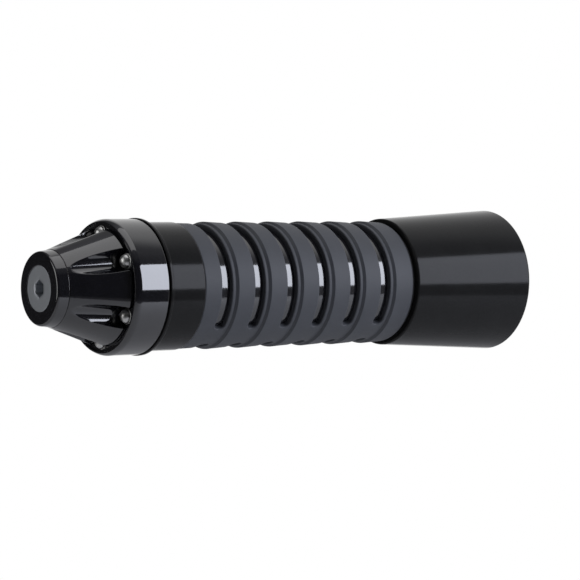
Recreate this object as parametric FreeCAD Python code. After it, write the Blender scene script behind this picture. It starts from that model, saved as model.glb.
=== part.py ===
import FreeCAD, Part
import math
import os

# Throttle grip with a bar-end weight for a 22 mm handlebar. All sizes are millimetres.
# X runs along the handlebar, away from its open end, which is the plane X = 0. Z is up and -Y is forward.
# The weight stands out to -X and its expander reaches into the handlebar. The grip turns on the handlebar.

# Handlebar that the part fits
BAR_OUTER_R = 11.1
BAR_BORE_R = 8.5
GRIP_TURN_CLEARANCE = 0.05
SPIGOT_CLEARANCE = 0.05

# Centre bolt, M6 countersunk
BOLT_R = 3.0
BOLT_BEYOND_NUT = 2.75
HEAD_R = 6.0
HEAD_LIP = 0.3
HEAD_RECESS = 0.15
HEX_ACROSS_FLATS = 4.0
HEX_DEPTH = 3.0
BOLT_CLEARANCE = 0.3

# Outside of the bar-end weight
NOSE_LENGTH = 3.3
NOSE_R = 10.05
NOSE_SHOULDER_R = 9.7
NOSE_FACE_R = 8.9
NOSE_ROUND_LENGTH = 0.75
CONE_LENGTH = 15.8
CONE_NOSE_R = 10.1
CONE_BASE_LAND = 0.9
COLLAR_LENGTH = 9.3
COLLAR_R = 17.9
RIM_HEIGHT = 0.7
RIM_WALL = 1.15
RIM_ROUND_LENGTH = 1.9
RIM_ROUND_DEPTH = 0.7
COLLAR_EDGE_ROUND = 0.25

# Flutes and studs
FLUTE_COUNT = 6
FIRST_FLUTE_ANGLE = 30.0
FLUTE_R = 3.2
FLUTE_START = 0.8
STUD_R = 2.15
STUD_FOOT_HEIGHT = 0.35
STUD_DOME_R = 1.95
STUD_DOME_HEIGHT = 1.75
STUD_SHANK_R = 1.0
STUD_SHANK_LENGTH = 3.0
STUD_TO_RIM = 0.5
STUD_TO_FLUTE = 0.15
CONE_TO_STUD_CIRCLE = 1.5

# Inside of the bar-end weight
NOSE_SPIGOT_WALL = 2.8
NOSE_SPIGOT_LENGTH = 3.0
CONE_SPIGOT_STEP = 0.4
CONE_SPIGOT_LENGTH = 1.5
BULKHEAD = 1.6
POCKET_BEYOND_BAR = 1.8
PLUG_FLANGE = 3.0
PLUG_SEAT_HEIGHT = 0.3
DOWEL_R = 1.0
DOWEL_LENGTH = 4.0
DOWEL_IN_BULKHEAD = 1.0

# Expander inside the handlebar
PLUG_SPIGOT_LENGTH = 12.0
PLUG_CHAMFER = 0.5
WASHER_THICKNESS = 1.0
WASHER_CLEARANCE = 0.3
EXPANDER_LENGTH = 20.0
EXPANDER_CLEARANCE = 0.25
NUT_ACROSS_FLATS = 10.0
NUT_THICKNESS = 5.0

# Turning gap between the weight and the grip
TURN_GAP = 0.4
THRUST_WASHER_CLEARANCE = 0.1
THRUST_WASHER_TO_BAR = 0.5
THRUST_WASHER_TO_COLLAR_EDGE = 1.4

# Layers of the grip, from the handlebar outwards
LINER_WALL = 1.85
CORE_WALL = 2.2
BAND_THICKNESS = 1.9
BAND_FALL = 0.55
FIRST_BAND_DROP = 0.3
OUTBOARD_SLEEVE_WALL = 1.85
FLANGE_HEIGHT = 1.1
INBOARD_SLEEVE_START_WALL = 2.55
INBOARD_SLEEVE_END_WALL = 4.85
SPACER_WALL = 0.9

# Lengths along the grip
FLANGE_WIDTH = 1.0
OUTBOARD_SLEEVE_LENGTH = 10.5
PITCH = 10.52
PITCH_COUNT = 6
LAST_BAND = 6.2
STEP_WIDTH = 0.76
SPACER_LENGTH = 1.1
INBOARD_SLEEVE_LENGTH = 38.9
END_WALL = 1.5
LINER_RECESS = 0.3
LINER_RELIEF_DEPTH = 0.45
LINER_RELIEF_BEYOND_BOLT = 4.3

# Windows through the rubber: two in each pitch
WINDOW_TO_STEP = 1.03
WINDOW_WIDTH = 3.2
WINDOW_SPAN = 155.0
FIRST_WINDOW_ANGLE = -112.0

# Small edge rounds
FLANGE_ROUND = 0.3
SLEEVE_ROUND = 0.35
INBOARD_ROUND = 0.6
STEP_TOP_ROUND = 0.3
STEP_FOOT_ROUND = 0.35
LIP_ROUND = 0.4

# Grub screws that hold the inboard sleeve on the core, M4
GRUB_R = 2.0
GRUB_LENGTH = 3.0
GRUB_HEX_ACROSS_FLATS = 2.0
GRUB_HEX_DEPTH = 1.5
GRUB_FROM_END = 12.0
GRUB_ANGLES = (110.0, 200.0)

# Stations of the weight along X
LEDGE_X = -COLLAR_LENGTH
CONE_FRONT_X = LEDGE_X - CONE_LENGTH
NOSE_FRONT_X = CONE_FRONT_X - NOSE_LENGTH
NOSE_SPIGOT_END_X = CONE_FRONT_X + NOSE_SPIGOT_LENGTH
CONE_SPIGOT_END_X = LEDGE_X + CONE_SPIGOT_LENGTH
POCKET_X = CONE_SPIGOT_END_X + BULKHEAD
HEAD_X = NOSE_FRONT_X + HEAD_RECESS
NUT_X = PLUG_SPIGOT_LENGTH + 2 * WASHER_THICKNESS + EXPANDER_LENGTH
BOLT_END_X = NUT_X + NUT_THICKNESS + BOLT_BEYOND_NUT

# Radii of the weight
BOLT_HOLE_R = BOLT_R + BOLT_CLEARANCE
RIM_INNER_R = COLLAR_R - RIM_WALL
STUD_CIRCLE_R = RIM_INNER_R - STUD_TO_RIM - STUD_R
CONE_BASE_R = STUD_CIRCLE_R + CONE_TO_STUD_CIRCLE
FLUTE_FLOOR_R = STUD_CIRCLE_R - STUD_R - STUD_TO_FLUTE
NOSE_SPIGOT_R = CONE_NOSE_R - NOSE_SPIGOT_WALL
CONE_SPIGOT_R = FLUTE_FLOOR_R - CONE_SPIGOT_STEP
POCKET_R = BAR_OUTER_R + POCKET_BEYOND_BAR
DOWEL_CIRCLE_R = (BOLT_HOLE_R + CONE_SPIGOT_R) / 2
THRUST_WASHER_INNER_R = BAR_OUTER_R + THRUST_WASHER_TO_BAR
THRUST_WASHER_OUTER_R = COLLAR_R - THRUST_WASHER_TO_COLLAR_EDGE
SPIGOT_R = BAR_BORE_R - SPIGOT_CLEARANCE

# Stations of the grip along X
FLANGE_X = TURN_GAP
SLEEVE_X = FLANGE_X + FLANGE_WIDTH
RUBBER_X = SLEEVE_X + OUTBOARD_SLEEVE_LENGTH
RUBBER_END_X = RUBBER_X + PITCH_COUNT * PITCH + LAST_BAND
INBOARD_X = RUBBER_END_X + SPACER_LENGTH
GRIP_END_X = INBOARD_X + INBOARD_SLEEVE_LENGTH
CORE_END_X = GRIP_END_X - END_WALL
LINER_START_X = FLANGE_X + LINER_RECESS
LINER_END_X = GRIP_END_X - LINER_RECESS
RELIEF_END_X = BOLT_END_X + LINER_RELIEF_BEYOND_BOLT

# Radii of the grip
LINER_BORE_R = BAR_OUTER_R + GRIP_TURN_CLEARANCE
RELIEF_R = LINER_BORE_R + LINER_RELIEF_DEPTH
LINER_R = LINER_BORE_R + LINER_WALL
CORE_R = LINER_R + CORE_WALL
BAND_R = CORE_R + BAND_THICKNESS
LAND_R = BAND_R - BAND_FALL
SLEEVE_R = CORE_R + OUTBOARD_SLEEVE_WALL
FLANGE_R = SLEEVE_R + FLANGE_HEIGHT
SPACER_R = CORE_R + SPACER_WALL
INBOARD_START_R = CORE_R + INBOARD_SLEEVE_START_WALL
INBOARD_END_R = CORE_R + INBOARD_SLEEVE_END_WALL

ORIGIN = FreeCAD.Vector(0, 0, 0)
X_AXIS = FreeCAD.Vector(1, 0, 0)
FORWARD = FreeCAD.Vector(0, -1, 0)
MATCH = 0.001


def at(x, r):
    """A point at station x and radius r, on the forward side."""
    return FreeCAD.Vector(x, -r, 0)


def turned(edges, sweep=360.0):
    """The solid that a closed outline of edges makes when it turns about the handlebar's axis."""
    face = Part.Face(Part.Wire(edges))
    return face.revolve(ORIGIN, X_AXIS, sweep)


def outline(*places):
    """Straight edges through (x, r) places, closed back to the first."""
    points = [at(x, r) for x, r in places]
    return [Part.makeLine(a, b) for a, b in zip(points, points[1:] + points[:1])]


def tube(x_start, x_end, outer_r, inner_r):
    """A plain tube about the handlebar's axis."""
    return turned(outline((x_start, inner_r), (x_start, outer_r), (x_end, outer_r), (x_end, inner_r)))


def placed_at(shape, angle):
    """A copy turned about the handlebar's axis. Angles run from forward, through down, to rearward."""
    copy = shape.copy()
    copy.rotate(ORIGIN, X_AXIS, angle)
    return copy


def rims(solid, *places):
    """The circular edges of a turned solid at the given (x, r) places."""
    found = []
    for edge in solid.Edges:
        if not isinstance(edge.Curve, Part.Circle):
            continue
        x, r = edge.Curve.Center.x, edge.Curve.Radius
        if any(abs(x - px) < MATCH and abs(r - pr) < MATCH for px, pr in places):
            found.append(edge)
    return found


def rounded(solid, radius, *places):
    """The solid with its rims at the given places rounded."""
    return solid.makeFillet(radius, rims(solid, *places))


def hexagon_prism(across_flats, base, direction, length):
    """A hexagonal prism that starts at base and runs along direction."""
    corner_r = across_flats / math.sqrt(3)
    points = []
    for k in range(7):
        angle = math.radians(60 * k)
        points.append(FreeCAD.Vector(corner_r * math.cos(angle), corner_r * math.sin(angle), 0))
    prism = Part.Face(Part.makePolygon(points)).extrude(FreeCAD.Vector(0, 0, length))
    prism.Placement = FreeCAD.Placement(base, FreeCAD.Rotation(FreeCAD.Vector(0, 0, 1), direction))
    return prism


def cone_r(x):
    """Radius of the cone's lands at station x, in front of the cylindrical base land."""
    slope = (CONE_BASE_R - CONE_NOSE_R) / (CONE_LENGTH - CONE_BASE_LAND)
    return CONE_NOSE_R + slope * (x - CONE_FRONT_X)


def inboard_r(x):
    """Outer radius of the tapered inboard sleeve at station x."""
    share = (x - INBOARD_X) / INBOARD_SLEEVE_LENGTH
    return INBOARD_START_R + share * (INBOARD_END_R - INBOARD_START_R)


# ---- Bar-end weight and expander: fixed to the handlebar ----

def centre_bolt():
    """Countersunk bolt with a hexagon socket."""
    cone_start = HEAD_X + HEAD_LIP
    cone_end = cone_start + HEAD_R - BOLT_R
    body = turned(outline((HEAD_X, 0), (HEAD_X, HEAD_R), (cone_start, HEAD_R), (cone_end, BOLT_R),
                          (BOLT_END_X, BOLT_R), (BOLT_END_X, 0)))
    socket = hexagon_prism(HEX_ACROSS_FLATS, FreeCAD.Vector(HEAD_X, 0, 0), X_AXIS, HEX_DEPTH)
    return body.cut(socket)


def nose_cap():
    """Rounded ring around the bolt's head, with a spigot that seats in the cone."""
    shoulder_x = NOSE_FRONT_X + NOSE_ROUND_LENGTH
    rise = NOSE_SHOULDER_R - NOSE_FACE_R
    round_r = (NOSE_ROUND_LENGTH ** 2 + rise ** 2) / (2 * NOSE_ROUND_LENGTH)
    half_swing = math.atan2(NOSE_ROUND_LENGTH, rise)
    middle = at(NOSE_FRONT_X + round_r * (1 - math.cos(half_swing)),
                NOSE_FACE_R + round_r * math.sin(half_swing))
    front, back = at(NOSE_FRONT_X, NOSE_FACE_R), at(shoulder_x, NOSE_SHOULDER_R)
    round_edge = Part.Arc(front, middle, back).toShape()
    lip_x = HEAD_X + HEAD_LIP
    countersink_end = lip_x + HEAD_R - BOLT_HOLE_R
    places = ((shoulder_x, NOSE_SHOULDER_R), (CONE_FRONT_X, NOSE_R), (CONE_FRONT_X, NOSE_SPIGOT_R),
              (NOSE_SPIGOT_END_X, NOSE_SPIGOT_R), (NOSE_SPIGOT_END_X, BOLT_HOLE_R),
              (countersink_end, BOLT_HOLE_R), (lip_x, HEAD_R), (NOSE_FRONT_X, HEAD_R),
              (NOSE_FRONT_X, NOSE_FACE_R))
    points = [at(x, r) for x, r in places]
    straight = [Part.makeLine(a, b) for a, b in zip(points, points[1:])]
    return turned([round_edge] + straight)


def flute_cutter():
    """A round bar whose inner side runs from the cone's surface, near the nose, down to the flute's floor."""
    start_x = CONE_FRONT_X + FLUTE_START
    slope = (FLUTE_FLOOR_R - cone_r(start_x)) / (LEDGE_X - start_x)
    direction = FreeCAD.Vector(1, -slope, 0)
    direction.normalize()
    outward = FreeCAD.Vector(-slope, -1, 0)
    outward.normalize()
    overrun = CONE_LENGTH * 0.1
    start = at(start_x, cone_r(start_x)) + outward * FLUTE_R - direction * overrun
    return Part.makeCylinder(FLUTE_R, CONE_LENGTH + 2 * overrun, start, direction)


def fluted_cone():
    """Cone with scooped flutes, a cylindrical base land and a rear spigot that seats in the collar."""
    land_x = LEDGE_X - CONE_BASE_LAND
    body = turned(outline((CONE_FRONT_X, NOSE_SPIGOT_R), (CONE_FRONT_X, CONE_NOSE_R), (land_x, CONE_BASE_R),
                          (LEDGE_X, CONE_BASE_R), (LEDGE_X, CONE_SPIGOT_R),
                          (CONE_SPIGOT_END_X, CONE_SPIGOT_R), (CONE_SPIGOT_END_X, BOLT_HOLE_R),
                          (NOSE_SPIGOT_END_X, BOLT_HOLE_R), (NOSE_SPIGOT_END_X, NOSE_SPIGOT_R)))
    cutter = flute_cutter()
    for k in range(FLUTE_COUNT):
        body = body.cut(placed_at(cutter, FIRST_FLUTE_ANGLE + 360.0 / FLUTE_COUNT * k))
    for dowel in dowels():
        body = body.cut(dowel)
    return body


def dowels():
    """Two pins that keep the cone's flutes in line with the collar's studs."""
    start = at(CONE_SPIGOT_END_X + DOWEL_IN_BULKHEAD - DOWEL_LENGTH, DOWEL_CIRCLE_R)
    pin = Part.makeCylinder(DOWEL_R, DOWEL_LENGTH, start, X_AXIS)
    return [placed_at(pin, angle) for angle in (0.0, 180.0)]


def studs():
    """Studs with a low dome on a round foot, one at the end of each flute, with shanks in the collar."""
    foot_x = LEDGE_X - STUD_FOOT_HEIGHT
    sphere_r = (STUD_DOME_R ** 2 + STUD_DOME_HEIGHT ** 2) / (2 * STUD_DOME_HEIGHT)
    sink = sphere_r - STUD_DOME_HEIGHT
    start_latitude = math.degrees(math.asin(sink / sphere_r))
    dome = Part.makeSphere(sphere_r, at(foot_x + sink, STUD_CIRCLE_R), -X_AXIS, start_latitude, 90, 360)
    foot = Part.makeCylinder(STUD_R, STUD_FOOT_HEIGHT, at(foot_x, STUD_CIRCLE_R), X_AXIS)
    shank = Part.makeCylinder(STUD_SHANK_R, STUD_SHANK_LENGTH, at(LEDGE_X, STUD_CIRCLE_R), X_AXIS)
    stud = dome.fuse([foot, shank]).removeSplitter()
    return [placed_at(stud, FIRST_FLUTE_ANGLE + 360.0 / FLUTE_COUNT * k) for k in range(FLUTE_COUNT)]


def rim_collar():
    """Cylindrical collar: a rim in front, a ledge that the cone stands on, and a pocket behind."""
    rim_x = LEDGE_X - RIM_HEIGHT
    full_x = rim_x + RIM_ROUND_LENGTH
    round_r = (RIM_ROUND_LENGTH ** 2 + RIM_ROUND_DEPTH ** 2) / (2 * RIM_ROUND_DEPTH)
    half_swing = math.atan2(RIM_ROUND_DEPTH, RIM_ROUND_LENGTH)
    middle = at(full_x - round_r * math.sin(half_swing), COLLAR_R - round_r * (1 - math.cos(half_swing)))
    round_edge = Part.Arc(at(rim_x, COLLAR_R - RIM_ROUND_DEPTH), middle, at(full_x, COLLAR_R)).toShape()
    places = ((full_x, COLLAR_R), (0, COLLAR_R), (0, POCKET_R), (POCKET_X, POCKET_R), (POCKET_X, BOLT_HOLE_R),
              (CONE_SPIGOT_END_X, BOLT_HOLE_R), (CONE_SPIGOT_END_X, CONE_SPIGOT_R), (LEDGE_X, CONE_SPIGOT_R),
              (LEDGE_X, RIM_INNER_R), (rim_x, RIM_INNER_R), (rim_x, COLLAR_R - RIM_ROUND_DEPTH))
    points = [at(x, r) for x, r in places]
    straight = [Part.makeLine(a, b) for a, b in zip(points, points[1:])]
    collar = rounded(turned([round_edge] + straight), COLLAR_EDGE_ROUND, (0, COLLAR_R))
    for pin in studs() + dowels():
        collar = collar.cut(pin)
    return collar


def inner_weight():
    """Steel slug in the collar's pocket."""
    return tube(POCKET_X, -PLUG_FLANGE, POCKET_R, BOLT_HOLE_R)


def bar_plug():
    """Flange that closes the collar's pocket, a seat for the handlebar's end, and a spigot inside it."""
    chamfer_x = PLUG_SPIGOT_LENGTH - PLUG_CHAMFER
    return turned(outline((-PLUG_FLANGE, BOLT_HOLE_R), (-PLUG_FLANGE, POCKET_R),
                          (-PLUG_SEAT_HEIGHT, POCKET_R), (-PLUG_SEAT_HEIGHT, BAR_OUTER_R),
                          (0, BAR_OUTER_R), (0, SPIGOT_R),
                          (chamfer_x, SPIGOT_R), (PLUG_SPIGOT_LENGTH, SPIGOT_R - PLUG_CHAMFER),
                          (PLUG_SPIGOT_LENGTH, BOLT_HOLE_R)))


def expander_washer(x_start):
    """Steel washer at one end of the expander."""
    return tube(x_start, x_start + WASHER_THICKNESS, BAR_BORE_R - WASHER_CLEARANCE, BOLT_HOLE_R)


def expander_sleeve():
    """Rubber sleeve that swells against the handlebar's bore when the bolt is tightened."""
    start = PLUG_SPIGOT_LENGTH + WASHER_THICKNESS
    return tube(start, start + EXPANDER_LENGTH, BAR_BORE_R - EXPANDER_CLEARANCE, BOLT_HOLE_R)


def clamp_nut():
    """Hexagon nut on the bolt's end."""
    start = FreeCAD.Vector(NUT_X, 0, 0)
    body = hexagon_prism(NUT_ACROSS_FLATS, start, X_AXIS, NUT_THICKNESS)
    return body.cut(Part.makeCylinder(BOLT_R, NUT_THICKNESS, start, X_AXIS))


def thrust_washer():
    """Thin washer in the turning gap. It is fixed to the collar and stops just short of the flange."""
    return tube(0, TURN_GAP - THRUST_WASHER_CLEARANCE, THRUST_WASHER_OUTER_R, THRUST_WASHER_INNER_R)


# ---- Grip: turns on the handlebar ----

def throttle_liner():
    """Nylon tube that runs on the handlebar. Its outboard stretch is relieved, clear of the bar's end."""
    return turned(outline((LINER_START_X, RELIEF_R), (LINER_START_X, LINER_R), (LINER_END_X, LINER_R),
                          (LINER_END_X, LINER_BORE_R), (RELIEF_END_X, LINER_BORE_R),
                          (RELIEF_END_X, RELIEF_R)))


def grip_core():
    """Aluminium tube that carries the rubber and both sleeves."""
    return tube(SLEEVE_X, CORE_END_X, CORE_R, LINER_R)


def outboard_sleeve():
    """Sleeve with a thin flange beside the turning gap."""
    body = turned(outline((FLANGE_X, LINER_R), (FLANGE_X, FLANGE_R), (SLEEVE_X, FLANGE_R),
                          (SLEEVE_X, SLEEVE_R), (RUBBER_X, SLEEVE_R), (RUBBER_X, CORE_R),
                          (SLEEVE_X, CORE_R), (SLEEVE_X, LINER_R)))
    body = rounded(body, FLANGE_ROUND, (FLANGE_X, FLANGE_R), (SLEEVE_X, FLANGE_R))
    return rounded(body, SLEEVE_ROUND, (RUBBER_X, SLEEVE_R))


def rubber_outline():
    """Outer places of the rubber: each band falls to a land, then a short step rises to the next band."""
    places = [(RUBBER_X, BAND_R - FIRST_BAND_DROP)]
    for k in range(1, PITCH_COUNT + 1):
        step_x = RUBBER_X + k * PITCH
        places += [(step_x - STEP_WIDTH, LAND_R), (step_x, BAND_R)]
    return places + [(RUBBER_END_X, BAND_R - BAND_FALL * LAST_BAND / PITCH)]


def window(start_x, start_angle):
    """Cutter for one window: a slot part of the way round, with rounded ends."""
    top_r = BAND_R + 1
    end_turn = math.degrees(math.asin(WINDOW_WIDTH / 2 / CORE_R))
    section = outline((start_x, LINER_R), (start_x, top_r), (start_x + WINDOW_WIDTH, top_r),
                      (start_x + WINDOW_WIDTH, LINER_R))
    slot = placed_at(turned(section, WINDOW_SPAN - 2 * end_turn), start_angle + end_turn)
    centre = at(start_x + WINDOW_WIDTH / 2, LINER_R)
    end = Part.makeCylinder(WINDOW_WIDTH / 2, top_r - LINER_R, centre, FORWARD)
    ends = [placed_at(end, start_angle + end_turn), placed_at(end, start_angle + WINDOW_SPAN - end_turn)]
    return slot.fuse(ends)


def rubber_grip():
    """Moulded rubber with stepped bands and two windows in each pitch."""
    outer = rubber_outline()
    body = turned(outline((RUBBER_X, CORE_R), *outer, (RUBBER_END_X, CORE_R)))
    tops = [(RUBBER_X + k * PITCH, BAND_R) for k in range(1, PITCH_COUNT + 1)]
    feet = [(x - STEP_WIDTH, LAND_R) for x, _ in tops]
    body = rounded(body, STEP_TOP_ROUND, *tops)
    body = rounded(body, STEP_FOOT_ROUND, *feet)
    body = rounded(body, LIP_ROUND, outer[0], outer[-1])
    for k in range(PITCH_COUNT):
        start_x = RUBBER_X + (k + 1) * PITCH - STEP_WIDTH - WINDOW_TO_STEP - WINDOW_WIDTH
        for side in (0.0, 180.0):
            body = body.cut(window(start_x, FIRST_WINDOW_ANGLE + side))
    return body


def spacer_ring():
    """Rubber ring in the groove between the grip's rubber and the inboard sleeve."""
    return tube(RUBBER_END_X, INBOARD_X, SPACER_R, CORE_R)


def inboard_sleeve():
    """Tapered sleeve with an end wall that closes over the core."""
    body = turned(outline((INBOARD_X, CORE_R), (INBOARD_X, INBOARD_START_R), (GRIP_END_X, INBOARD_END_R),
                          (GRIP_END_X, LINER_R), (CORE_END_X, LINER_R), (CORE_END_X, CORE_R)))
    body = rounded(body, INBOARD_ROUND, (INBOARD_X, INBOARD_START_R), (GRIP_END_X, INBOARD_END_R))
    x = GRIP_END_X - GRUB_FROM_END
    hole = Part.makeCylinder(GRUB_R, INBOARD_END_R - CORE_R + 1, at(x, CORE_R), FORWARD)
    for angle in GRUB_ANGLES:
        body = body.cut(placed_at(hole, angle))
    return body


def grub_screws():
    """Set screws with hexagon sockets, run in until they bear on the core."""
    x = GRIP_END_X - GRUB_FROM_END
    body = Part.makeCylinder(GRUB_R, GRUB_LENGTH, at(x, CORE_R), FORWARD)
    socket_r = CORE_R + GRUB_LENGTH - GRUB_HEX_DEPTH
    socket = hexagon_prism(GRUB_HEX_ACROSS_FLATS, at(x, socket_r), FORWARD, GRUB_HEX_DEPTH)
    screw = body.cut(socket)
    return [placed_at(screw, angle) for angle in GRUB_ANGLES]


def parts():
    """Every sub-part by name."""
    return {
        "centre_bolt": centre_bolt(),
        "nose_cap": nose_cap(),
        "fluted_cone": fluted_cone(),
        "rim_studs": Part.makeCompound(studs()),
        "rim_collar": rim_collar(),
        "locating_dowels": Part.makeCompound(dowels()),
        "inner_weight": inner_weight(),
        "bar_plug": bar_plug(),
        "front_washer": expander_washer(PLUG_SPIGOT_LENGTH),
        "expander_sleeve": expander_sleeve(),
        "rear_washer": expander_washer(NUT_X - WASHER_THICKNESS),
        "clamp_nut": clamp_nut(),
        "thrust_washer": thrust_washer(),
        "throttle_liner": throttle_liner(),
        "grip_core": grip_core(),
        "outboard_sleeve": outboard_sleeve(),
        "rubber_grip": rubber_grip(),
        "spacer_ring": spacer_ring(),
        "inboard_sleeve": inboard_sleeve(),
        "grub_screws": Part.makeCompound(grub_screws()),
    }


def main():
    os.makedirs("parts", exist_ok=True)
    for name, shape in parts().items():
        shape.exportStep(f"parts/{name}.step")
        box = shape.BoundBox
        print(f"{name}: {len(shape.Solids)} solids, {shape.Volume:.1f} mm3, valid {shape.isValid()}, "
              f"x {box.XMin:.2f}..{box.XMax:.2f}, r {box.YMax:.2f}")


main()
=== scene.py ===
import math

import bmesh
import bpy
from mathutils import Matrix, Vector

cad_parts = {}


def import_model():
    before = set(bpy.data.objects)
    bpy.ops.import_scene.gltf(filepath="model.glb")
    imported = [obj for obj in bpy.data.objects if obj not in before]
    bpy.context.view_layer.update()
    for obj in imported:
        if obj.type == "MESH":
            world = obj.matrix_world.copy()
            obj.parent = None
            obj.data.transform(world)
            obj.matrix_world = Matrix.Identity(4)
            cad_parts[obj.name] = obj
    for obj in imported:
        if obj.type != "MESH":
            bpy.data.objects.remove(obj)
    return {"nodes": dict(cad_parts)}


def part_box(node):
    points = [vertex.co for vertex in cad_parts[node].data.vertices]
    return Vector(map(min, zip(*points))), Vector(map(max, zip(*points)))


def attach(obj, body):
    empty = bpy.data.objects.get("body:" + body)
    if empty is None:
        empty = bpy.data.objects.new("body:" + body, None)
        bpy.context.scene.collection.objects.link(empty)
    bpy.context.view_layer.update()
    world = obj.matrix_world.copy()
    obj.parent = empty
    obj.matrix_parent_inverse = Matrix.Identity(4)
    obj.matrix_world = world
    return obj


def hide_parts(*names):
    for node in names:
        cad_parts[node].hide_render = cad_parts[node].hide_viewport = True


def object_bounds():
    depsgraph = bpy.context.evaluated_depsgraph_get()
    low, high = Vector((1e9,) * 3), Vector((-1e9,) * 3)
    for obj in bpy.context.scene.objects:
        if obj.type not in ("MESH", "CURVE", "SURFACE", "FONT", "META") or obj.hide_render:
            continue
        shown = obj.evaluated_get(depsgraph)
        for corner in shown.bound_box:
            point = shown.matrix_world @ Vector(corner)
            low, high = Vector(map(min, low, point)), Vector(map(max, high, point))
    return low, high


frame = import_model()
CAD_LOW, CAD_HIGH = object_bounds()

MM = 0.001
TURN = 2 * math.pi
AROUND = 288
WEIGHT_BODY = "bar_end"
GRIP_BODY = "grip"

# Centre bolt
BOLT_R = 3.0 * MM
BOLT_HOLE_R = 3.3 * MM
BOLT_HEAD_R = 6.0 * MM

# Cone and its flutes
CONE_NOSE_R = 10.1 * MM
CONE_BASE_R = 15.6 * MM
CONE_BASE_LAND = 0.9 * MM
CONE_BORE_R = 7.3 * MM
FLUTE_COUNT = 6
FIRST_FLUTE_ANGLE = math.radians(30.0)
FLUTE_R = 3.2 * MM
FLUTE_START = 0.8 * MM
FLUTE_FLOOR_R = 11.8 * MM

# Rim of the collar, and the studs behind it
RIM_HEIGHT = 0.7 * MM
RIM_WALL = 1.15 * MM
RIM_ROUND_LENGTH = 1.9 * MM
RIM_ROUND_DEPTH = 0.7 * MM
STUD_R = 2.15 * MM
STUD_FOOT_HEIGHT = 0.35 * MM
STUD_DOME_R = 1.95 * MM
STUD_DOME_HEIGHT = 1.75 * MM
STUD_CIRCLE_R = 14.1 * MM

# Sleeves over the core
OUTBOARD_SLEEVE_WALL = 1.85 * MM
FLANGE_LENGTH = 1.0 * MM
INBOARD_SLEEVE_START_WALL = 2.55 * MM
INBOARD_SLEEVE_END_WALL = 4.85 * MM

# Rubber bands and windows, as in the CAD model
PITCH = 10.52 * MM
PITCH_COUNT = 6
STEP_WIDTH = 0.76 * MM
BAND_THICKNESS = 1.9 * MM
BAND_FALL = 0.55 * MM
FIRST_BAND_DROP = 0.3 * MM
WINDOW_START = 5.53 * MM
WINDOW_WIDTH = 3.2 * MM
WINDOW_SPAN = math.radians(155.0)
FIRST_WINDOW_ANGLE = math.radians(-112.0)
WINDOW_LIP_R = 0.42 * MM
WINDOW_MEASURED_HEIGHT = 1.3 * MM

# Grid of the rubber: a cell's reach along each pitch, its columns along a window and round a window's end
CELL_START = 0.6 * MM
CELL_END = PITCH - STEP_WIDTH - 0.35 * MM
LONG_STEPS = 128
END_STEPS = 16

# Light of the room by height, and by how far it comes from the backdrop's side: (place from 0 to 1, level)
HEIGHT_SHADES = ((0.0, 0.18), (0.30, 0.15), (0.36, 0.01), (0.80, 0.01), (0.88, 0.12), (1.0, 0.4))
BACKDROP_SHADES = ((0.0, 0.02), (0.62, 0.03), (0.70, 0.15), (0.77, 1.0), (1.0, 1.0))
BACKDROP_SIDE = (0.95, 0.30, 0.0)
ROOM_TINT = (0.97, 0.97, 1.04)

LAMP_TARGET = Vector((0.04, 0, 0))
KEY_COLOR = (0.95, 0.99, 1.12)

# Camera: its bearing, its lens, and where it sees the middle of the nose (right, up, back)
CAMERA_AZIMUTH = math.radians(-36.0)
CAMERA_ELEVATION = math.radians(1.81)
LENS_MM = 155.17
NOSE_SEEN_AT = Vector((-64.383, 0.294, -640.25)) * MM


def reach(node):
    """Start, end and outer radius of a CAD node, along and about the handlebar's axis."""
    low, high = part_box(node)
    return low.x, high.x, max(high.z, -low.z)


def towards(azimuth, elevation):
    """Unit vector in radians. Azimuth 0 is at -Y, and a quarter turn at +X."""
    level = math.cos(elevation)
    return Vector((math.sin(azimuth) * level, -math.cos(azimuth) * level, math.sin(elevation)))


# ---- Mesh helpers ----

def place(x, r, angle):
    """A point at station x and radius r. Angles run from forward (-Y), through down, to rearward."""
    return Vector((x, -r * math.cos(angle), -r * math.sin(angle)))


class Mesh:
    """Collects points and faces, and joins points that fall on each other."""

    def __init__(self):
        self.points = []
        self.faces = []
        self.known = {}

    def point(self, position):
        key = tuple(round(c * 2e7) for c in position)
        if key not in self.known:
            self.known[key] = len(self.points)
            self.points.append(position)
        return self.known[key]

    def face(self, *positions):
        ids = []
        for position in positions:
            i = self.point(position)
            if i not in ids:
                ids.append(i)
        if len(ids) > 2:
            self.faces.append(ids)

    def sheet(self, rows):
        """Faces between rows of positions."""
        for row, after in zip(rows, rows[1:]):
            for a, b, c, d in zip(row, row[1:], after[1:], after):
                self.face(a, b, c, d)

    def finish(self, name, body, material, sharp_degrees=35.0):
        mesh = bpy.data.meshes.new(name)
        mesh.from_pydata(self.points, [], self.faces)
        cleaner = bmesh.new()
        cleaner.from_mesh(mesh)
        bmesh.ops.recalc_face_normals(cleaner, faces=cleaner.faces)
        cleaner.to_mesh(mesh)
        cleaner.free()
        mesh.shade_smooth()
        mesh.set_sharp_from_angle(angle=math.radians(sharp_degrees))
        mesh.materials.append(material)
        piece = bpy.data.objects.new(name, mesh)
        bpy.context.scene.collection.objects.link(piece)
        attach(piece, body)
        return piece


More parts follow.
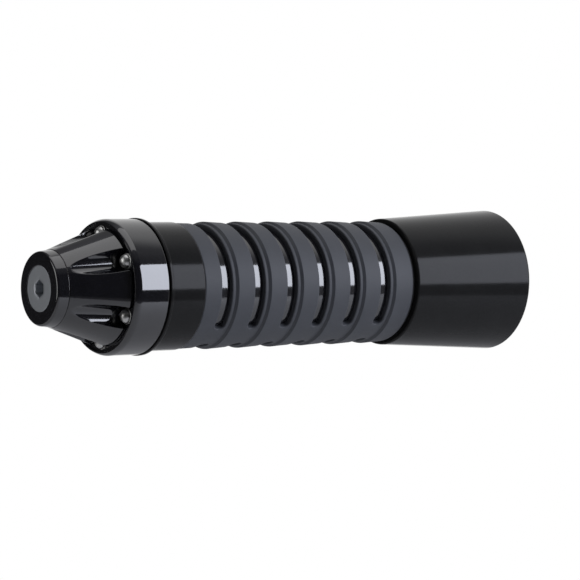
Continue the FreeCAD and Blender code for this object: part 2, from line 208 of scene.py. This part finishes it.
def rounded_outline(corners, steps=6, guard=0.04 * MM):
    """Corners are (x, r) or (x, r, round). Rounds become arcs with guard points beside them."""
    count = len(corners)
    outline = []
    for k, corner in enumerate(corners):
        here = Vector(corner[:2])
        size = corner[2] if len(corner) > 2 else 0.0
        to_last = Vector(corners[k - 1][:2]) - here
        to_next = Vector(corners[(k + 1) % count][:2]) - here
        if size <= 0:
            outline.append(here)
            continue
        to_last.normalize()
        to_next.normalize()
        half = to_last.angle(to_next) / 2
        run = size / math.tan(half)
        centre = here + (to_last + to_next).normalized() * (size / math.sin(half))
        start = here + to_last * run
        end = here + to_next * run
        outline.append(start + to_last * guard)
        for i in range(steps + 1):
            share = i / steps
            ray = (start - centre).lerp(end - centre, share)
            swing = (start - centre).angle(end - centre)
            if swing > 1e-4:
                a = math.sin((1 - share) * swing) / math.sin(swing)
                b = math.sin(share * swing) / math.sin(swing)
                ray = (start - centre) * a + (end - centre) * b
            outline.append(centre + ray)
        outline.append(end + to_next * guard)
    return outline


def lathe(name, corners, body, material):
    """A closed piece turned about the handlebar's axis from an outline."""
    outline = rounded_outline(corners)
    outline.append(outline[0])
    mesh = Mesh()
    angles = [TURN * k / AROUND for k in range(AROUND + 1)]
    angles[-1] = 0.0
    mesh.sheet([[place(p.x, p.y, a) for a in angles] for p in outline])
    return mesh.finish(name, body, material)


# ---- Materials ----

def new_material(name):
    material = bpy.data.materials.new(name)
    material.use_nodes = True
    nodes, links = material.node_tree.nodes, material.node_tree.links
    return material, nodes, links, nodes["Principled BSDF"]


def textured(name, dark, light, rough, rough_spread, grain_mm, bump, specular=0.5, metallic=0.0, ior=1.5):
    """A material whose colour, roughness and fine surface relief vary with two noises."""
    material, nodes, links, shader = new_material(name)
    place_node = nodes.new("ShaderNodeTexCoord")
    grain = nodes.new("ShaderNodeTexNoise")
    grain.inputs["Scale"].default_value = 1.0 / (grain_mm * MM)
    grain.inputs["Detail"].default_value = 3.0
    patch = nodes.new("ShaderNodeTexNoise")
    patch.inputs["Scale"].default_value = 1.0 / (9.0 * MM)
    patch.inputs["Detail"].default_value = 2.0
    for texture in (grain, patch):
        links.new(place_node.outputs["Object"], texture.inputs["Vector"])
    blend = nodes.new("ShaderNodeMix")
    blend.data_type = "FLOAT"
    blend.inputs["Factor"].default_value = 0.5
    links.new(grain.outputs["Fac"], blend.inputs["A"])
    links.new(patch.outputs["Fac"], blend.inputs["B"])
    ramp = nodes.new("ShaderNodeValToRGB")
    ramp.color_ramp.elements[0].position = 0.35
    ramp.color_ramp.elements[1].position = 0.65
    ramp.color_ramp.elements[0].color = (*dark, 1)
    ramp.color_ramp.elements[1].color = (*light, 1)
    links.new(blend.outputs["Result"], ramp.inputs["Fac"])
    links.new(ramp.outputs["Color"], shader.inputs["Base Color"])
    spread = nodes.new("ShaderNodeMapRange")
    spread.inputs["From Min"].default_value = 0.3
    spread.inputs["From Max"].default_value = 0.7
    spread.inputs["To Min"].default_value = rough - rough_spread
    spread.inputs["To Max"].default_value = rough + rough_spread
    links.new(blend.outputs["Result"], spread.inputs["Value"])
    links.new(spread.outputs["Result"], shader.inputs["Roughness"])
    relief = nodes.new("ShaderNodeBump")
    relief.inputs["Strength"].default_value = 1.0
    relief.inputs["Distance"].default_value = bump * MM
    links.new(grain.outputs["Fac"], relief.inputs["Height"])
    links.new(relief.outputs["Normal"], shader.inputs["Normal"])
    shader.inputs["Specular IOR Level"].default_value = specular
    shader.inputs["Metallic"].default_value = metallic
    shader.inputs["IOR"].default_value = ior
    return material


def turned_metal(name, dark, light, rough, ring_mm, bump):
    """Metal with fine concentric tool marks about the handlebar's axis."""
    material, nodes, links, shader = new_material(name)
    place_node = nodes.new("ShaderNodeTexCoord")
    rings = nodes.new("ShaderNodeTexWave")
    rings.wave_type = "RINGS"
    rings.rings_direction = "X"
    rings.inputs["Scale"].default_value = 1.0 / (ring_mm * MM) / 10
    rings.inputs["Distortion"].default_value = 1.5
    rings.inputs["Detail"].default_value = 2.0
    grain = nodes.new("ShaderNodeTexNoise")
    grain.inputs["Scale"].default_value = 1.0 / (0.5 * MM)
    for texture in (rings, grain):
        links.new(place_node.outputs["Object"], texture.inputs["Vector"])
    blend = nodes.new("ShaderNodeMix")
    blend.data_type = "FLOAT"
    blend.inputs["Factor"].default_value = 0.5
    links.new(rings.outputs["Fac"], blend.inputs["A"])
    links.new(grain.outputs["Fac"], blend.inputs["B"])
    ramp = nodes.new("ShaderNodeValToRGB")
    ramp.color_ramp.elements[0].position = 0.3
    ramp.color_ramp.elements[1].position = 0.7
    ramp.color_ramp.elements[0].color = (*dark, 1)
    ramp.color_ramp.elements[1].color = (*light, 1)
    links.new(blend.outputs["Result"], ramp.inputs["Fac"])
    links.new(ramp.outputs["Color"], shader.inputs["Base Color"])
    relief = nodes.new("ShaderNodeBump")
    relief.inputs["Distance"].default_value = bump * MM
    links.new(blend.outputs["Result"], relief.inputs["Height"])
    links.new(relief.outputs["Normal"], shader.inputs["Normal"])
    shader.inputs["Roughness"].default_value = rough
    shader.inputs["Metallic"].default_value = 1.0
    return material


GLOSS_BLACK = textured("gloss_black", (0.004, 0.004, 0.006), (0.007, 0.007, 0.009), 0.07, 0.015, 0.9, 0.0003,
                       ior=1.7)
CORE_BLACK = textured("core_black", (0.008, 0.008, 0.010), (0.013, 0.013, 0.016), 0.10, 0.02, 0.9, 0.0006,
                      ior=1.7)
SLEEVE_BLACK = textured("sleeve_black", (0.011, 0.011, 0.011), (0.014, 0.014, 0.014), 0.13, 0.02, 0.6, 0.0004,
                        specular=0.09)
GRIP_RUBBER = textured("grip_rubber", (0.033, 0.036, 0.043), (0.046, 0.049, 0.057), 0.62, 0.06, 0.16, 0.012,
                       specular=0.4)
SOFT_BLACK = textured("soft_black", (0.010, 0.010, 0.011), (0.020, 0.020, 0.022), 0.70, 0.05, 0.2, 0.01)
NYLON = textured("nylon", (0.020, 0.020, 0.022), (0.035, 0.035, 0.038), 0.45, 0.05, 0.4, 0.004)
BOLT_STEEL = turned_metal("bolt_steel", (0.36, 0.38, 0.40), (0.45, 0.47, 0.50), 0.48, 0.12, 0.002)
STUD_STEEL = textured("stud_steel", (0.38, 0.38, 0.37), (0.55, 0.55, 0.54), 0.36, 0.05, 0.3, 0.003,
                      metallic=1.0)
PLAIN_STEEL = turned_metal("plain_steel", (0.38, 0.38, 0.40), (0.55, 0.55, 0.57), 0.35, 0.3, 0.004)


def paint(node, material):
    """Gives a carried-over CAD node its material."""
    for slot in frame["nodes"][node].material_slots:
        slot.material = material


# ---- Bar-end weight ----

def centre_bolt():
    """Countersunk head with a hexagon socket and softened edges; the shank is carried in the same piece."""
    start, end, head_r = reach("centre_bolt")
    lip, socket_flat, depth = 0.3 * MM, 2.0 * MM, 3.0 * MM
    mesh = Mesh()
    around = 144
    angles = [TURN * k / around for k in range(around + 1)]
    angles[-1] = 0.0

    def hexagon(flat, angle):
        local = (angle + math.radians(30)) % math.radians(60) - math.radians(30)
        return flat / math.cos(local)

    soft = 0.16 * MM
    socket = [
        [place(start + depth, 0, a) for a in angles],
        [place(start + depth - 0.6 * MM, hexagon(socket_flat, a) * 0.55, a) for a in angles],
        [place(start + depth - 0.6 * MM, hexagon(socket_flat, a), a) for a in angles],
        [place(start + 2 * soft, hexagon(socket_flat, a), a) for a in angles],
        [place(start + soft, hexagon(socket_flat, a) + 0.02 * MM, a) for a in angles],
        [place(start + 0.3 * soft, hexagon(socket_flat, a) + 0.3 * soft, a) for a in angles],
        [place(start, hexagon(socket_flat, a) + soft, a) for a in angles],
    ]
    corners = [(start, head_r * 0.5), (start, head_r, 0.14 * MM), (start + lip, head_r),
               (start + lip + head_r - BOLT_R, BOLT_R), (end - 0.6 * MM, BOLT_R),
               (end, BOLT_R - 0.6 * MM), (end, 0.0)]
    rest = [[place(p.x, p.y, a) for a in angles] for p in rounded_outline(corners)]
    mesh.sheet(socket + rest)
    piece = mesh.finish("bolt_head_and_shank", WEIGHT_BODY, BOLT_STEEL)
    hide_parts("centre_bolt")


def nose_cap():
    """Rounded ring around the bolt's head, with a spigot that seats in the cone."""
    start, end, _ = reach("nose_cap")
    face_r, shoulder_r, back_r = 8.9 * MM, 9.7 * MM, 10.05 * MM
    shoulder = start + 0.75 * MM
    cone_start = reach("fluted_cone")[0]
    rise = shoulder_r - face_r
    round_r = ((shoulder - start) ** 2 + rise ** 2) / (2 * (shoulder - start))
    swing = 2 * math.atan2(shoulder - start, rise)
    turns = [swing * i / 16 for i in range(1, 16)]
    nose_round = [(start + round_r * (1 - math.cos(t)), face_r + round_r * math.sin(t)) for t in turns]
    corners = [(start + 0.12 * MM, BOLT_HEAD_R, 0.05 * MM),
               (start, BOLT_HEAD_R + 0.12 * MM, 0.05 * MM), (start, face_r)]
    corners += nose_round
    corners += [(shoulder, shoulder_r), (cone_start - 0.06 * MM, back_r, 0.08 * MM),
                (cone_start, CONE_BORE_R), (end, CONE_BORE_R), (end, BOLT_HOLE_R),
                (start + 3.15 * MM, BOLT_HOLE_R), (start + 0.45 * MM, BOLT_HEAD_R)]
    piece = lathe("nose_cap_ring", corners, WEIGHT_BODY, GLOSS_BLACK)
    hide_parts("nose_cap")


class Cone:
    """Radii of the fluted cone at any station and angle."""

    def __init__(self):
        self.start, self.end, _ = reach("fluted_cone")
        self.ledge = reach("rim_collar")[0] + RIM_HEIGHT
        self.land_start = self.ledge - CONE_BASE_LAND
        self.slope = (CONE_BASE_R - CONE_NOSE_R) / (self.land_start - self.start)
        self.flute_start = self.start + FLUTE_START
        self.floor_slope = (FLUTE_FLOOR_R - self.land(self.flute_start)) / (self.ledge - self.flute_start)

    def land(self, x):
        return min(CONE_NOSE_R + self.slope * (x - self.start), CONE_BASE_R)

    def flute_centre(self, x):
        floor = self.land(self.flute_start) + self.floor_slope * (x - self.flute_start)
        return floor + FLUTE_R * math.sqrt(1 + self.floor_slope ** 2)

    def half_angle(self, x):
        """Angle from a flute's middle to its edge at station x."""
        r, centre = self.land(x), self.flute_centre(x)
        if centre - FLUTE_R >= r:
            return 0.0
        return math.acos(min(1.0, (r * r + centre * centre - FLUTE_R ** 2) / (2 * r * centre)))

    def flute(self, x, angle):
        centre = self.flute_centre(x)
        inside = FLUTE_R ** 2 - (centre * math.sin(angle)) ** 2
        return centre * math.cos(angle) - math.sqrt(max(inside, 0.0))

    def ring(self, x, soft=0.25 * MM):
        """(angle, radius) places round station x, with both sides of a flute's edge slightly eased."""
        edge, r = self.half_angle(x), self.land(x)
        sector = TURN / FLUTE_COUNT
        ease = 0.22 * soft * min(1.0, edge * r / soft)
        places = []
        for k in range(FLUTE_COUNT):
            middle = FIRST_FLUTE_ANGLE + sector * k
            for i in range(32):
                a = edge * math.sin(math.pi / 2 * (i / 16 - 1))
                fade = max(0.0, 1 - (edge - abs(a)) * r / soft) ** 2
                places.append((middle + a, min(self.flute(x, a), r) - ease * fade if edge > 0 else r))
            for i in range(24):
                share = 0.5 - 0.5 * math.cos(math.pi * i / 24)
                a = edge + (sector - 2 * edge) * share
                fade = max(0.0, 1 - min(a - edge, sector - edge - a) * r / soft) ** 2
                places.append((middle + a, r - ease * fade))
        return places + [places[0]]


def fluted_cone():
    """Lands and flutes as one skin. A flute's edge always has a column of points on it."""
    cone = Cone()
    spigot_r = FLUTE_FLOOR_R - 0.4 * MM
    stations = [cone.start + 0.05 * MM] + [cone.start + (cone.land_start - cone.start) * i / 72
                                           for i in range(1, 73)]
    stations += [cone.land_start + 0.08 * MM, cone.ledge - 0.3 * MM, cone.ledge - 0.12 * MM]
    angles = [a for a, _ in cone.ring(cone.start)]
    skin = [[place(x, r, a) for a, r in cone.ring(x)] for x in stations]
    foot = [place(cone.ledge, r - 0.1 * MM, a) for a, r in cone.ring(cone.ledge)]
    inside = [(cone.ledge, spigot_r), (cone.end, spigot_r), (cone.end, CONE_BORE_R),
              (cone.start, CONE_BORE_R), (cone.start, CONE_NOSE_R - 0.08 * MM)]
    mesh = Mesh()
    mesh.sheet(skin + [foot] + [[place(x, r, a) for a in angles] for x, r in inside] + [skin[0]])
    piece = mesh.finish("cone_with_flutes", WEIGHT_BODY, GLOSS_BLACK, 48.0)
    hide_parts("fluted_cone")


def rim_collar():
    """Collar whose thin rim stands in front of the ledge, with a hollow for the weight behind it."""
    start, end, outer_r = reach("rim_collar")
    ledge, full = start + RIM_HEIGHT, start + RIM_ROUND_LENGTH
    inner_r, cone_seat_r, hollow_r = outer_r - RIM_WALL, 12.8 * MM, 12.9 * MM
    hollow_x, web_x = ledge + 3.1 * MM, ledge + 1.5 * MM
    round_r = ((full - start) ** 2 + RIM_ROUND_DEPTH ** 2) / (2 * RIM_ROUND_DEPTH)
    swing = 2 * math.atan2(RIM_ROUND_DEPTH, full - start)
    turns = [swing * (1 - i / 20) for i in range(1, 20)]
    corners = [(ledge, cone_seat_r), (ledge, inner_r, 0.12 * MM), (start, inner_r, 0.06 * MM),
               (start, outer_r - RIM_ROUND_DEPTH, 0.08 * MM)]
    corners += [(full - round_r * math.sin(t), outer_r - round_r * (1 - math.cos(t))) for t in turns]
    corners += [(full, outer_r), (end, outer_r, 0.25 * MM), (end, hollow_r), (hollow_x, hollow_r),
                (hollow_x, BOLT_HOLE_R), (web_x, BOLT_HOLE_R), (web_x, cone_seat_r)]
    piece = lathe("collar_with_rim", corners, WEIGHT_BODY, GLOSS_BLACK)
    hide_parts("rim_collar")


def rim_studs():
    """Studs with a low dome on a rounded foot, one at the end of each flute."""
    apex = reach("rim_studs")[0]
    ledge = reach("rim_collar")[0] + RIM_HEIGHT
    foot_x = ledge - STUD_FOOT_HEIGHT
    sphere_r = (STUD_DOME_R ** 2 + STUD_DOME_HEIGHT ** 2) / (2 * STUD_DOME_HEIGHT)
    swing = math.acos((sphere_r - STUD_DOME_HEIGHT) / sphere_r)
    turns = [swing * i / 16 for i in range(17)]
    profile = [(apex + sphere_r * (1 - math.cos(t)), sphere_r * math.sin(t)) for t in turns]
    profile += [(foot_x, STUD_DOME_R + 0.06 * MM), (foot_x, STUD_R - 0.14 * MM),
                (foot_x + 0.04 * MM, STUD_R - 0.04 * MM), (foot_x + 0.14 * MM, STUD_R),
                (ledge, STUD_R), (ledge, 0.0)]
    around = 48
    mesh = Mesh()
    for k in range(FLUTE_COUNT):
        centre = place(0, STUD_CIRCLE_R, FIRST_FLUTE_ANGLE + TURN / FLUTE_COUNT * k)
        turns = [TURN * (i % around) / around for i in range(around + 1)]
        mesh.sheet([[centre + Vector((x, r * math.cos(a), r * math.sin(a))) for a in turns]
                    for x, r in profile])
    piece = mesh.finish("domed_studs", WEIGHT_BODY, STUD_STEEL)
    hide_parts("rim_studs")


# ---- Grip ----

def outboard_sleeve():
    """Smooth sleeve with a thin flange beside the turning gap."""
    start, end, flange_r = reach("outboard_sleeve")
    core_r = reach("grip_core")[2]
    sleeve_r = core_r + OUTBOARD_SLEEVE_WALL
    liner_r = reach("throttle_liner")[2]
    flange_end = start + FLANGE_LENGTH
    corners = [(start, liner_r), (start, flange_r, 0.28 * MM), (flange_end, flange_r, 0.28 * MM),
               (flange_end, sleeve_r, 0.12 * MM), (end, sleeve_r, 0.35 * MM), (end, core_r),
               (flange_end, core_r), (flange_end, liner_r)]
    piece = lathe("outboard_sleeve_turned", corners, GRIP_BODY, SLEEVE_BLACK)
    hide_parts("outboard_sleeve")


def inboard_sleeve():
    """Smooth sleeve that widens towards its inboard end."""
    start, end, _ = reach("inboard_sleeve")
    _, core_end, core_r = reach("grip_core")
    liner_r = reach("throttle_liner")[2]
    start_r = core_r + INBOARD_SLEEVE_START_WALL
    end_r = core_r + INBOARD_SLEEVE_END_WALL
    corners = [(start, core_r), (start, start_r, 0.55 * MM), (end, end_r, 0.6 * MM), (end, liner_r, 0.2 * MM),
               (core_end, liner_r), (core_end, core_r)]
    piece = lathe("inboard_sleeve_turned", corners, GRIP_BODY, SLEEVE_BLACK)
    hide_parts("inboard_sleeve")


def grip_core():
    """Plain tube that shows through the rubber's windows."""
    start, end, outer_r = reach("grip_core")
    inner_r = reach("throttle_liner")[2]
    corners = [(start, inner_r), (start, outer_r), (end, outer_r), (end, inner_r)]
    piece = lathe("core_tube", corners, GRIP_BODY, CORE_BLACK)
    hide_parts("grip_core")


def spacer_ring():
    """Thin ring between the rubber and the inboard sleeve."""
    start, end, outer_r = reach("spacer_ring")
    inner_r = reach("grip_core")[2]
    corners = [(start, inner_r), (start, outer_r, 0.3 * MM), (end, outer_r, 0.3 * MM), (end, inner_r)]
    piece = lathe("spacer_ring_round", corners, GRIP_BODY, SOFT_BLACK)
    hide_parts("spacer_ring")


class RubberGrip:
    """Bands, steps and windows as one closed moulding.

    Each pitch has two cells, one round each window. A cell is a set of rings between the window's edge and a
    rectangle, and strips that go all the way round carry the steps between the cells.
    """

    def __init__(self):
        self.start, self.end, _ = reach("rubber_grip")
        self.core_r = reach("grip_core")[2]
        self.band_r = self.core_r + BAND_THICKNESS
        self.window_r = self.core_r + WINDOW_MEASURED_HEIGHT
        first = FIRST_WINDOW_ANGLE + WINDOW_SPAN / 2 - math.pi / 2
        self.angle_at = [first + math.pi * i / LONG_STEPS for i in range(2 * LONG_STEPS)]
        self.full_turn = self.angle_at + [self.angle_at[0]]
        self.mesh = Mesh()

    def line_r(self, x):
        """Radius of the bands' straight falls at station x, without the steps."""
        k = min(int((x - self.start) / PITCH + 1e-9), PITCH_COUNT)
        along = (x - self.start - k * PITCH) / (PITCH - STEP_WIDTH)
        top = self.band_r - FIRST_BAND_DROP if k == 0 else self.band_r
        fall = BAND_FALL - FIRST_BAND_DROP if k == 0 else BAND_FALL
        return top - fall * along

    def strip(self, corners):
        """A ring of rubber between two stations, from an outline that starts and ends on the core."""
        outline = rounded_outline(corners)[1:-1]
        self.mesh.sheet([[place(p.x, p.y, a) for a in self.full_turn] for p in outline])
        self.mesh.sheet([[place(p.x, self.core_r, a) for a in self.full_turn]
                         for p in (outline[0], outline[-1])])

    def window_edge(self, base, centre):
        """(x, angle, outward x, outward angle) places round a window: low side, end, high side, end."""
        radius = WINDOW_WIDTH / 2
        x_low, x_high = base + WINDOW_START, base + WINDOW_START + WINDOW_WIDTH
        x_mid = (x_low + x_high) / 2
        half = WINDOW_SPAN / 2 - math.asin(radius / self.window_r)
        along = [half * (2 * i / LONG_STEPS - 1) for i in range(LONG_STEPS + 1)]
        turns = [math.pi * j / END_STEPS for j in range(1, END_STEPS)]

        def end(t, side):
            angle = centre + side * half + side * radius * math.sin(t) / self.window_r
            return x_mid - radius * math.cos(t), angle, -math.cos(t), side * math.sin(t)

        edge = [(x_low, centre + a, -1.0, 0.0) for a in along]
        edge += [end(t, 1) for t in turns]
        edge += [(x_high, centre + a, 1.0, 0.0) for a in reversed(along)]
        return edge + [end(t, -1) for t in reversed(turns)]

    def border(self, base):
        """(x, column) places on a cell's rectangle, one for each place on the window's edge."""
        across = [base + CELL_START + (CELL_END - CELL_START) * j / END_STEPS for j in range(1, END_STEPS)]
        columns = range(LONG_STEPS + 1)
        places = [(base + CELL_START, i) for i in columns]
        places += [(x, LONG_STEPS) for x in across]
        places += [(base + CELL_END, i) for i in reversed(columns)]
        return places + [(x, 0) for x in reversed(across)]

    def lip_rings(self, edge):
        """(x, angle, drop) rings from a window's wall over its rounded lip."""
        lip = WINDOW_LIP_R
        depths = [lip * (1 - math.cos(math.pi / 2 * i / 6)) for i in range(7)] + [lip + 0.05 * MM]
        rings = []
        for d in depths:
            drop = 0.0 if d >= lip else lip - math.sqrt(max(0.0, lip * lip - (lip - d) ** 2))
            rings.append([(x + nx * d, a + na * d / self.window_r, drop) for x, a, nx, na in edge])
        return rings

    def cell(self, k, side):
        base = self.start + k * PITCH
        centre = FIRST_WINDOW_ANGLE + WINDOW_SPAN / 2 + side * math.pi
        border = [(x, side * LONG_STEPS + column) for x, column in self.border(base)]
        rings = self.lip_rings(self.window_edge(base, centre))
        last = rings[-1]
        for share in (0.3, 0.65):
            ring = []
            for (x, a, _), (border_x, column) in zip(last, border):
                border_a = self.angle_at[0] + math.pi * column / LONG_STEPS
                ring.append((x + (border_x - x) * share, a + (border_a - a) * share, 0.0))
            rings.append(ring)
        rings.append([(x, self.full_turn[column % (2 * LONG_STEPS)], 0.0) for x, column in border])
        rows = [[place(x, self.line_r(x) - drop, a) for x, a, drop in ring] for ring in rings]
        skin = [place(x, self.core_r, a) for x, a, _ in rings[-1]]
        foot = [place(x, self.core_r, a) for x, a, _ in rings[0]]
        self.mesh.sheet([row + [row[0]] for row in [skin, foot] + rows])

    def build(self):
        far = self.start + CELL_START
        self.strip([(self.start, self.core_r), (self.start, self.line_r(self.start), 0.4 * MM),
                    (far, self.line_r(far)), (far, self.core_r)])
        for k in range(PITCH_COUNT):
            for side in (0, 1):
                self.cell(k, side)
            near, step = self.start + k * PITCH + CELL_END, self.start + (k + 1) * PITCH
            far = step + CELL_START
            tail = [(far, self.line_r(far)), (far, self.core_r)]
            if k == PITCH_COUNT - 1:
                tail = [(self.end, self.line_r(self.end), 0.4 * MM), (self.end, self.core_r)]
            self.strip([(near, self.core_r), (near, self.line_r(near)),
                        (step - STEP_WIDTH, self.band_r - BAND_FALL, 0.3 * MM),
                        (step, self.band_r, 0.28 * MM)] + tail)


def rubber_grip():
    grip = RubberGrip()
    grip.build()
    piece = grip.mesh.finish("rubber_moulding", GRIP_BODY, GRIP_RUBBER, 60.0)
    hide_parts("rubber_grip")


# ---- Stage, light and camera ----

def shade_ramp(nodes, links, value, shades):
    """Colours of the room for a value from -1 to 1."""
    spread = nodes.new("ShaderNodeMapRange")
    spread.inputs["From Min"].default_value = -1.0
    spread.inputs["From Max"].default_value = 1.0
    links.new(value, spread.inputs["Value"])
    ramp = nodes.new("ShaderNodeValToRGB")
    ramp.color_ramp.interpolation = "EASE"
    elements = ramp.color_ramp.elements
    for n, (spot, level) in enumerate(shades):
        element = elements[n] if n < 2 else elements.new(spot)
        element.position = spot
        element.color = (*(level * tint for tint in ROOM_TINT), 1)
    links.new(spread.outputs["Result"], ramp.inputs["Fac"])
    return ramp.outputs["Color"]


def room_light(nodes, links, height, backdrop):
    """The lighter of the shade by height and half the backdrop's level."""
    dimmed = nodes.new("ShaderNodeMix")
    dimmed.data_type = "RGBA"
    dimmed.inputs["Factor"].default_value = 0.5
    dimmed.inputs["A"].default_value = (0, 0, 0, 1)
    links.new(backdrop, dimmed.inputs["B"])
    both = nodes.new("ShaderNodeMix")
    both.data_type = "RGBA"
    both.blend_type = "LIGHTEN"
    both.inputs["Factor"].default_value = 1.0
    links.new(height, both.inputs["A"])
    links.new(dimmed.outputs["Result"], both.inputs["B"])
    return both.outputs["Result"]


def white_share(nodes, links, backdrop):
    """1 for the camera. For glossy and transmission rays, the backdrop's level where it stands."""
    path = nodes.new("ShaderNodeLightPath")

    def math_of(operation, first, second):
        node = nodes.new("ShaderNodeMath")
        node.operation = operation
        links.new(first, node.inputs[0])
        links.new(second, node.inputs[1])
        return node.outputs["Value"]

    mirrored = math_of("ADD", path.outputs["Is Glossy Ray"], path.outputs["Is Transmission Ray"])
    mirrored = math_of("MULTIPLY", mirrored, backdrop)
    return math_of("MAXIMUM", path.outputs["Is Camera Ray"], mirrored)


def world():
    """White for the camera, and in reflections where the white backdrop stands; a dim room elsewhere."""
    scene_world = bpy.data.worlds.new("studio")
    scene_world.use_nodes = True
    bpy.context.scene.world = scene_world
    nodes, links = scene_world.node_tree.nodes, scene_world.node_tree.links
    nodes.clear()
    where = nodes.new("ShaderNodeTexCoord")
    split = nodes.new("ShaderNodeSeparateXYZ")
    links.new(where.outputs["Generated"], split.inputs["Vector"])
    height = shade_ramp(nodes, links, split.outputs["Z"], HEIGHT_SHADES)
    sideways = nodes.new("ShaderNodeVectorMath")
    sideways.operation = "DOT_PRODUCT"
    sideways.inputs[1].default_value = BACKDROP_SIDE
    links.new(where.outputs["Generated"], sideways.inputs[0])
    backdrop = shade_ramp(nodes, links, sideways.outputs["Value"], BACKDROP_SHADES)
    room = nodes.new("ShaderNodeBackground")
    links.new(room_light(nodes, links, height, backdrop), room.inputs["Color"])
    white = nodes.new("ShaderNodeBackground")
    white.inputs["Color"].default_value = (1, 1, 1, 1)
    mix = nodes.new("ShaderNodeMixShader")
    links.new(white_share(nodes, links, backdrop), mix.inputs["Fac"])
    links.new(room.outputs["Background"], mix.inputs[1])
    links.new(white.outputs["Background"], mix.inputs[2])
    out = nodes.new("ShaderNodeOutputWorld")
    links.new(mix.outputs["Shader"], out.inputs["Surface"])


def lamp(name, azimuth, elevation, distance, width, height, radiance, color=(1, 1, 1)):
    """A rectangular softbox that faces the part, from a bearing in degrees."""
    back = towards(math.radians(azimuth), math.radians(elevation))
    data = bpy.data.lights.new(name, "AREA")
    data.shape = "RECTANGLE"
    data.size, data.size_y = width, height
    data.color = color
    data.energy = radiance * math.pi * width * height
    light = bpy.data.objects.new(name, data)
    light.location = LAMP_TARGET + back * distance
    light.rotation_mode = "QUATERNION"
    light.rotation_quaternion = back.to_track_quat("Z", "Y")
    light.visible_camera = False
    bpy.context.scene.collection.objects.link(light)


def floor():
    """Plain pale floor, far enough below the part that the camera doesn't meet it."""
    size, depth = 0.5, 0.22
    middle = (CAD_LOW + CAD_HIGH) / 2
    mesh = bpy.data.meshes.new("floor")
    corners = [(-size, -size), (size, -size), (size, size), (-size, size)]
    mesh.from_pydata([(middle.x + x, middle.y + y, -depth) for x, y in corners], [], [(0, 1, 2, 3)])
    material, _, _, shader = new_material("pale_floor")
    shader.inputs["Base Color"].default_value = (0.8, 0.8, 0.8, 1)
    shader.inputs["Roughness"].default_value = 0.9
    mesh.materials.append(material)
    plane = bpy.data.objects.new("floor", mesh)
    bpy.context.scene.collection.objects.link(plane)


def camera():
    turn = towards(CAMERA_AZIMUTH, CAMERA_ELEVATION).to_track_quat("Z", "Y")
    data = bpy.data.cameras.new("camera")
    data.lens = LENS_MM
    data.clip_start, data.clip_end = 0.01, 20
    viewer = bpy.data.objects.new("camera", data)
    viewer.rotation_mode = "QUATERNION"
    viewer.rotation_quaternion = turn
    nose = Vector((CAD_LOW.x, 0, 0))
    viewer.location = nose - turn @ NOSE_SEEN_AT
    bpy.context.scene.collection.objects.link(viewer)
    bpy.context.scene.camera = viewer


for build in (centre_bolt, nose_cap, fluted_cone, rim_collar, rim_studs,
              outboard_sleeve, inboard_sleeve, grip_core, spacer_ring, rubber_grip):
    build()

for node in ("locating_dowels", "inner_weight", "bar_plug", "front_washer", "rear_washer", "clamp_nut",
             "grub_screws"):
    paint(node, PLAIN_STEEL)
paint("expander_sleeve", SOFT_BLACK)
paint("thrust_washer", NYLON)
paint("throttle_liner", NYLON)

world()
floor()
lamp("key", 36.5, 15.0, 0.70, 0.40, 0.46, 7.2, KEY_COLOR)
lamp("top", 0, 85, 0.80, 0.70, 0.70, 1.2)
lamp("left", -104, 10, 0.70, 0.36, 0.50, 2.4)
camera()
bpy.context.scene.view_settings.view_transform = "Standard"
